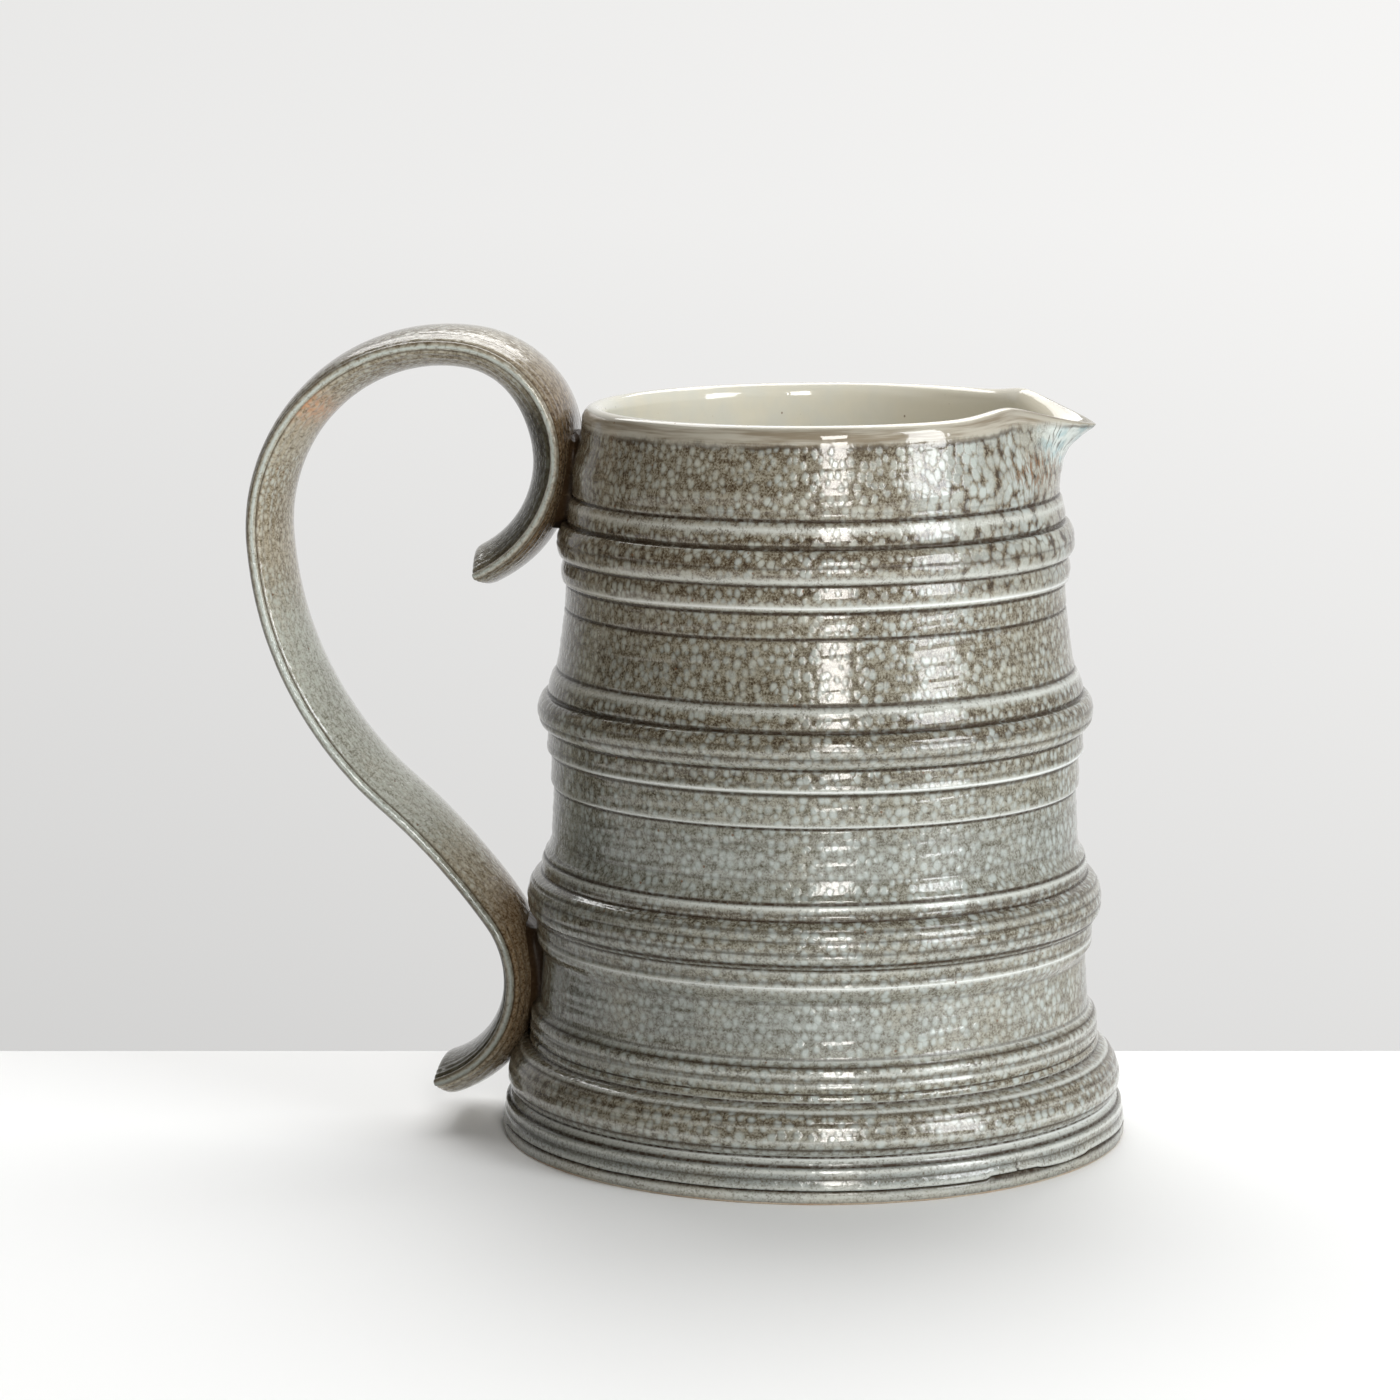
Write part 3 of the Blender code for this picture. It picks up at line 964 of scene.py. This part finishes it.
def salt_body(coat, salt, palette):
    """Pale spots on an olive-grey ground with fine dark specks."""
    dark = coat.mix(salt.cool, palette["dark"], palette["dark_cool"])
    mid = coat.mix(salt.cool, palette["mid"], palette["mid_cool"])
    ground = coat.mix(coat.ramp(salt.speckle, 0.40, 0.62), dark, mid)
    ground = coat.mix(coat.ramp(salt.speckle, 0.42, 0.34, 0.0, 0.85), ground, palette["groove"])
    bluer = coat.plus(salt.patch, coat.times(coat.minus(salt.cool, 0.5), 0.25))
    quiet = coat.mix(coat.ramp(bluer, 0.35, 0.65), palette["quiet_warm"], palette["quiet_cool"])
    quiet = coat.mix(coat.ramp(salt.speckle, 0.30, 0.60), dark, quiet)
    ground = coat.mix(coat.times(salt.calm, 0.85), ground, quiet)
    spot_colour = coat.mix(coat.ramp(bluer, 0.28, 0.52), palette["spot_warm"], palette["spot_cool"])
    strength = coat.ramp(coat.noise(salt.place, 0.12), 0.35, 0.65, 0.55, 0.9)
    strength = coat.times(strength, coat.ramp(salt.calm, 0.75, 1.0, 1.0, 0.2))
    return coat.mix(coat.times(salt.spot, strength), ground, spot_colour)


def edges_and_grooves(coat, salt, body, palette):
    """Edges shed their iron and stay pale, the brightest ledges with a painted reflection; grooves keep it
    and go dark, partly as painted shade.
    """
    pale = coat.times(salt.bead, coat.ramp(salt.speckle, 0.34, 0.52, 0.3, 0.92))
    body = coat.mix(pale, body, palette["bead"])
    # painted reflection of the white table on the downward-facing ledges
    body = coat.mix(coat.ramp(salt.bead, 1.05, 1.6, 0.0, 0.9), body, palette["ledge_reflection"])
    # dark in the grooves: iron pooled there, and painted shade of the undercuts
    pooled_and_shaded = coat.times(salt.groove, coat.ramp(salt.clump, 0.30, 0.62, 0.6, 1.0))
    return coat.mix(pooled_and_shaded, body, palette["groove"])


def kiln_marks_and_shade(coat, salt, body, palette):
    """Browned by the flame, darkened by painted shade, and blushed orange in one small place."""
    # flame browning, and painted shade on the dim handle side, in the gap by the wall and in the joints
    toast_and_shade_colour = coat.mix(salt.cool, palette["toast"], palette["smoke"])
    toast_and_shade_share = coat.times(salt.toast, coat.ramp(salt.grain, 0.38, 0.60, 1.0, 0.75))
    body = coat.mix(toast_and_shade_share, body, toast_and_shade_colour, "MULTIPLY")
    # painted shade inside the curls and on the back of the loop
    body = coat.mix(salt.smoke, body, palette["smoke"], "MULTIPLY")
    blush = coat.times(salt.flash, coat.ramp(salt.clump, 0.4, 0.6, 0.2, 0.75))
    return coat.mix(blush, body, rgb(0.55, 0.29, 0.16))


def lip_layer(coat, salt, body, palette):
    """The lip is thick with glaze: blue-white, with brown hairs, and rusty ones under it."""
    hairs = coat.ramp(coat.noise(coat.scaled(salt.place, (0.35, 1.5, 0.22)), 1.0, 3, 0.6), 0.55, 0.66)
    teal = coat.ramp(coat.noise(salt.place, 0.22), 0.45, 0.62)
    lip_colour = coat.mix(coat.times(teal, 0.7), rgb(0.56, 0.60, 0.57), rgb(0.30, 0.43, 0.45))
    lip_colour = coat.mix(coat.times(hairs, 0.75), lip_colour, palette["groove"])
    on_lip = coat.ramp(coat.plus(salt.lip, coat.times(salt.ragged, 0.8)), 0.3, 0.8)
    body = coat.mix(on_lip, body, lip_colour)
    threads = coat.noise(coat.scaled(salt.place, (0.5, 1.3, 0.35)), 1.0, 3, 0.6)
    rust = coat.times(salt.drip, coat.ramp(threads, 0.50, 0.60, 0.0, 0.8))
    return coat.mix(rust, body, rgb(0.17, 0.085, 0.035))


def liner_layer(coat, salt, body, palette):
    """Liner glaze: thin and buff outside the rim, where a brown line ends it, and cream inside, with
    painted light making the cream lighter towards the lip side.
    """
    line = coat.times(coat.ramp(salt.liner_edge, -1.4, -0.6), coat.ramp(salt.liner_edge, 0.3, -0.3))
    line = coat.times(line, coat.ramp(salt.patch, 0.42, 0.56, 0.15, 0.85))
    body = coat.mix(line, body, palette["groove"])
    cream = coat.mix(coat.ramp(salt.cloud, 0.35, 0.65), rgb(0.62, 0.59, 0.49), rgb(0.58, 0.57, 0.50))
    across = coat.node("ShaderNodeSeparateXYZ")
    coat.feed(across.inputs[0], salt.place)
    # painted light: the cream inside is lighter towards the lip side, where more light falls
    painted_light_lip_side = coat.ramp(across.outputs[0], -20, 55)
    cream = coat.mix(painted_light_lip_side, cream, rgb(0.80, 0.755, 0.63))
    buff = coat.mix(coat.ramp(salt.streak, 0.35, 0.62), rgb(0.21, 0.175, 0.125), rgb(0.37, 0.345, 0.285))
    colour = coat.mix(coat.ramp(salt.liner, 2.9, 5.0), buff, cream)
    pinhole, _ = coat.cells(coat.scaled(salt.place, (0.3, 0.3, 0.3)))
    colour = coat.mix(coat.ramp(pinhole, 0.07, 0.03, 0, 0.3), colour, rgb(0.33, 0.25, 0.16))
    return coat.mix(salt.lined, body, colour)


def iron_specks(coat, salt, body):
    speck, _ = coat.cells(coat.scaled(salt.place, (0.16, 0.16, 0.16)))
    return coat.mix(coat.ramp(speck, 0.06, 0.035, 0, 0.7), body, rgb(0.12, 0.05, 0.02))


def glaze_shine(coat, salt):
    """Glassy on the spots, duller in the grooves and where shade is painted in."""
    rough = coat.ramp(salt.spot, 0.0, 0.8, 0.075, 0.04)
    coat.feed(coat.shader.inputs["Roughness"], coat.plus(rough, coat.times(salt.groove, 0.2)))
    coat.shader.inputs["IOR"].default_value = 1.6
    # less shine where shade is painted in, so the dim side reads darker
    shaded_share = coat.most(salt.smoke, coat.times(coat.times(salt.toast, salt.cool), 0.8))
    shine = coat.times(coat.ramp(salt.groove, 0.2, 0.9, 0.5, 0.12), coat.ramp(shaded_share, 0.2, 1.0, 1.0, 0.35))
    coat.feed(coat.shader.inputs["Specular IOR Level"], shine)


def orange_peel(coat, salt):
    """The spots stand proud and the grain pits the rest; the liner only swells. Heights in mm."""
    skin = coat.plus(coat.times(salt.spot, 0.045), coat.times(salt.grain, 0.0015))
    skin = coat.plus(skin, coat.times(salt.clump, 0.016))
    skin = coat.plus(skin, coat.times(salt.streak, 0.004))
    skin = coat.plus(skin, coat.times(coat.noise(salt.place, 0.3, 1, 0.5), 0.05))
    height = coat.node("ShaderNodeMix", data_type="FLOAT")
    coat.feed(height.inputs["Factor"], salt.lined)
    coat.feed(height.inputs[2], skin)
    coat.feed(height.inputs[3], coat.times(salt.cloud, 0.2))
    bump = coat.node("ShaderNodeBump")
    bump.inputs["Distance"].default_value = MM
    coat.feed(bump.inputs["Height"], height.outputs[0])
    coat.feed(coat.shader.inputs["Normal"], bump.outputs["Normal"])


def salt_glaze(name, palette, cell_shape, big_cell_shape, wrapped):
    """Salt glaze with its kiln marks, and the liner glaze where a piece has it."""
    coat = Glaze(name)
    salt = salt_fields(coat, cell_shape, big_cell_shape, wrapped)
    body = salt_body(coat, salt, palette)
    body = edges_and_grooves(coat, salt, body, palette)
    body = kiln_marks_and_shade(coat, salt, body, palette)
    body = lip_layer(coat, salt, body, palette)
    body = liner_layer(coat, salt, body, palette)
    body = iron_specks(coat, salt, body)
    coat.feed(coat.shader.inputs["Base Color"], body)
    glaze_shine(coat, salt)
    orange_peel(coat, salt)
    return coat


WALL_PALETTE = {
    "dark": rgb(0.095, 0.072, 0.045),
    "dark_cool": rgb(0.108, 0.096, 0.066),
    "mid": rgb(0.280, 0.262, 0.205),
    "mid_cool": rgb(0.290, 0.282, 0.228),
    "quiet_warm": rgb(0.315, 0.305, 0.255),
    "quiet_cool": rgb(0.265, 0.290, 0.280),
    "spot_cool": rgb(0.425, 0.470, 0.450),
    "spot_warm": rgb(0.450, 0.470, 0.420),
    "bead": rgb(0.500, 0.515, 0.480),
    "ledge_reflection": rgb(0.80, 0.83, 0.84),
    "groove": rgb(0.036, 0.024, 0.015),
    # colour of flame browning and of painted shade
    "toast": rgb(0.54, 0.46, 0.36),
    # colour of painted shade
    "smoke": rgb(0.285, 0.265, 0.220),
}
STRAP_PALETTE = {
    "dark": rgb(0.18, 0.145, 0.095),
    "dark_cool": rgb(0.18, 0.17, 0.13),
    "mid": rgb(0.41, 0.37, 0.285),
    "mid_cool": rgb(0.41, 0.39, 0.32),
    "quiet_warm": rgb(0.50, 0.48, 0.41),
    "quiet_cool": rgb(0.49, 0.51, 0.46),
    "spot_cool": rgb(0.50, 0.52, 0.46),
    "spot_warm": rgb(0.52, 0.49, 0.40),
    "bead": rgb(0.42, 0.465, 0.435),
    "ledge_reflection": rgb(0.62, 0.66, 0.64),
    "groove": rgb(0.07, 0.05, 0.03),
    # colour of flame browning and of painted shade
    "toast": rgb(0.42, 0.29, 0.18),
    # colour of painted shade
    "smoke": rgb(0.17, 0.17, 0.145),
}


def bare_underside(coat):
    """Where the salt never reached, the clay is matt, buff and gritty."""
    place = coat.attribute("place", vector=True)
    grit = coat.noise(place, 1.4, 4, 0.7)
    scorch = coat.noise(place, 0.06, 3, 0.6)
    clay = coat.mix(coat.ramp(grit, 0.3, 0.7), rgb(0.33, 0.27, 0.20), rgb(0.47, 0.41, 0.32))
    clay = coat.mix(coat.ramp(scorch, 0.4, 0.7, 0, 0.6), clay, rgb(0.30, 0.18, 0.10))
    bare = coat.attribute("bare")
    colour = coat.shader.inputs["Base Color"]
    coat.feed(colour, coat.mix(bare, colour.links[0].from_socket, clay))
    rough = coat.shader.inputs["Roughness"]
    coat.feed(rough, coat.ramp(bare, 0, 1, 0.22, 0.85))


# ---------------------------------------------------------------- studio


def aim(obj, target):
    obj.rotation_euler = (Vector(target) - obj.location).to_track_quat("-Z", "Y").to_euler()


def window(name, azimuth, distance, centre_height, size, radiance, colour):
    """A rectangular soft light, placed by its bearing from the front of the picture."""
    bearing = VIEW_YAW + azimuth
    data = bpy.data.lights.new(name, "AREA")
    data.shape = "RECTANGLE"
    data.size, data.size_y = size
    data.energy = radiance * math.pi * size[0] * size[1]
    data.color = colour
    obj = bpy.data.objects.new(name, data)
    bpy.context.scene.collection.objects.link(obj)
    obj.location = (distance * math.sin(bearing), -distance * math.cos(bearing), centre_height)
    aim(obj, (0, 0, 0.1))


def build_lights():
    window("strip_light", math.radians(9), 1.8, 0.62, (0.38, 1.05), 14.5, (1.0, 0.98, 0.94))
    window("side_window", math.radians(55), 1.8, 0.70, (0.66, 1.2), 9.5, (0.95, 0.98, 1.0))
    window("overhead", math.radians(186), 0.95, 1.4, (1.6, 1.2), 4.1, (1.0, 1.0, 1.0))


def view_axes():
    """Level directions away from the camera and to its right."""
    heading = VIEW_YAW + VIEW_TURN
    away = Vector((-math.sin(heading), math.cos(heading), 0))
    right = Vector((math.cos(heading), math.sin(heading), 0))
    return away, right


def build_world():
    """A pale backdrop, brighter to the right and above, in a dim room."""
    world = bpy.data.worlds.new("studio")
    bpy.context.scene.world = world
    nodes = Nodes(world)
    where = nodes.node("ShaderNodeTexCoord").outputs["Generated"]

    def ramp_along(direction, low, high, to_low, to_high):
        lean = nodes.node("ShaderNodeVectorMath", operation="DOT_PRODUCT")
        nodes.feed(lean.inputs[0], where)
        nodes.feed(lean.inputs[1], direction)
        return nodes.ramp(lean.outputs["Value"], low, high, to_low, to_high, "LINEAR")

    away, right = view_axes()
    rise = ramp_along((0, 0, 1), -0.235, -0.06, 0.70, 0.87)
    tilt = ramp_along(right, -0.15, 0.15, -0.055, 0.05)
    behind = ramp_along(away, 0.45, 0.93, 0.0, 1.0)
    room = ramp_along(right, -0.3, 1.0, 0.06, 0.48)
    backdrop = nodes.times(nodes.plus(rise, tilt), behind)
    shade = nodes.plus(backdrop, nodes.times(room, nodes.minus(1.0, behind)))
    background = nodes.tree.nodes["Background"]
    nodes.feed(background.inputs["Strength"], shade)
    background.inputs["Color"].default_value = (1.0, 0.995, 0.985, 1.0)


def build_table():
    """A white table slab with a rounded far edge, square to the view."""
    turns = np.linspace(0, math.pi / 2, 7)
    profile = [(-TABLE_FRONT, -TABLE_THICKNESS), (-TABLE_FRONT, 0.0)]
    profile += [
        (TABLE_BACK - TABLE_ROUNDING * (1 - math.sin(t)), -TABLE_ROUNDING * (1 - math.cos(t)))
        for t in turns
    ]
    profile += [(TABLE_BACK, -TABLE_THICKNESS)]
    away, right = view_axes()
    vertices = []
    for side in (-TABLE_HALF_WIDTH, TABLE_HALF_WIDTH):
        vertices += [(right * side + away * far + Vector((0, 0, z)))[:] for far, z in profile]
    count = len(profile)
    faces = grid_faces(2, count, False).tolist() + list(end_caps(2, count))
    mesh = bpy.data.meshes.new("table")
    mesh.from_pydata(vertices, [], faces)
    table = bpy.data.objects.new("table", mesh)
    bpy.context.scene.collection.objects.link(table)
    material = bpy.data.materials.new("table_white")
    material.use_nodes = True
    shader = material.node_tree.nodes["Principled BSDF"]
    shader.inputs["Base Color"].default_value = rgb(0.86, 0.86, 0.855)
    shader.inputs["Roughness"].default_value = 0.6
    mesh.materials.append(material)


def build_camera():
    data = bpy.data.cameras.new("camera")
    data.lens = LENS
    data.sensor_width = SENSOR
    data.clip_start = 0.05
    camera = bpy.data.objects.new("camera", data)
    bpy.context.scene.collection.objects.link(camera)
    across, back = VIEW_DISTANCE * math.sin(VIEW_YAW), VIEW_DISTANCE * math.cos(VIEW_YAW)
    camera.location = (across, -back, VIEW_HEIGHT)
    camera.rotation_euler = (math.pi / 2 - VIEW_PITCH, 0, VIEW_YAW + VIEW_TURN)
    bpy.context.scene.camera = camera


# ---------------------------------------------------------------- the jug in its studio

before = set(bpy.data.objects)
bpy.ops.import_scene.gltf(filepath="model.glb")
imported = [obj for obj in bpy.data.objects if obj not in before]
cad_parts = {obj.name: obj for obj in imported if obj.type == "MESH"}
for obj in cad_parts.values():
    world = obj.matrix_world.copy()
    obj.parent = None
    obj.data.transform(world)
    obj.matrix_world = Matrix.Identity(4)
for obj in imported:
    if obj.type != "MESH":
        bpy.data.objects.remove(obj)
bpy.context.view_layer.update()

wall_glaze = salt_glaze("wall_salt_glaze", WALL_PALETTE, (0.46, 0.40, 1), (0.36, 0.32, 1), True)
strap_glaze = salt_glaze("strap_salt_glaze", STRAP_PALETTE, (0.48, 0.8, 1), (0.35, 0.55, 1), False)
joint_glaze = salt_glaze("joint_salt_glaze", STRAP_PALETTE, (0.5, 0.5, 1), (0.4, 0.4, 1), False)
base_glaze = salt_glaze("base_salt_glaze", WALL_PALETTE, (0.46, 0.40, 1), (0.36, 0.32, 1), True)
bare_underside(base_glaze)

for piece, glaze, node, slot in (
    (build_wall(), wall_glaze, "body_wall", "wall_glaze"),
    (build_base(), base_glaze, "base_disc", "base_clay"),
    (build_strap(), strap_glaze, "handle_strap", "strap_glaze"),
    (build_joint("upper_handle_joint"), joint_glaze, "upper_handle_joint", "wall_glaze"),
    (build_joint("lower_handle_joint"), joint_glaze, "lower_handle_joint", "wall_glaze"),
):
    piece.data.materials.append(glaze.material)
    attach(piece, "root")
    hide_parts(node)

build_camera()
build_table()
build_world()
build_lights()
bpy.context.scene.view_settings.view_transform = "Standard"
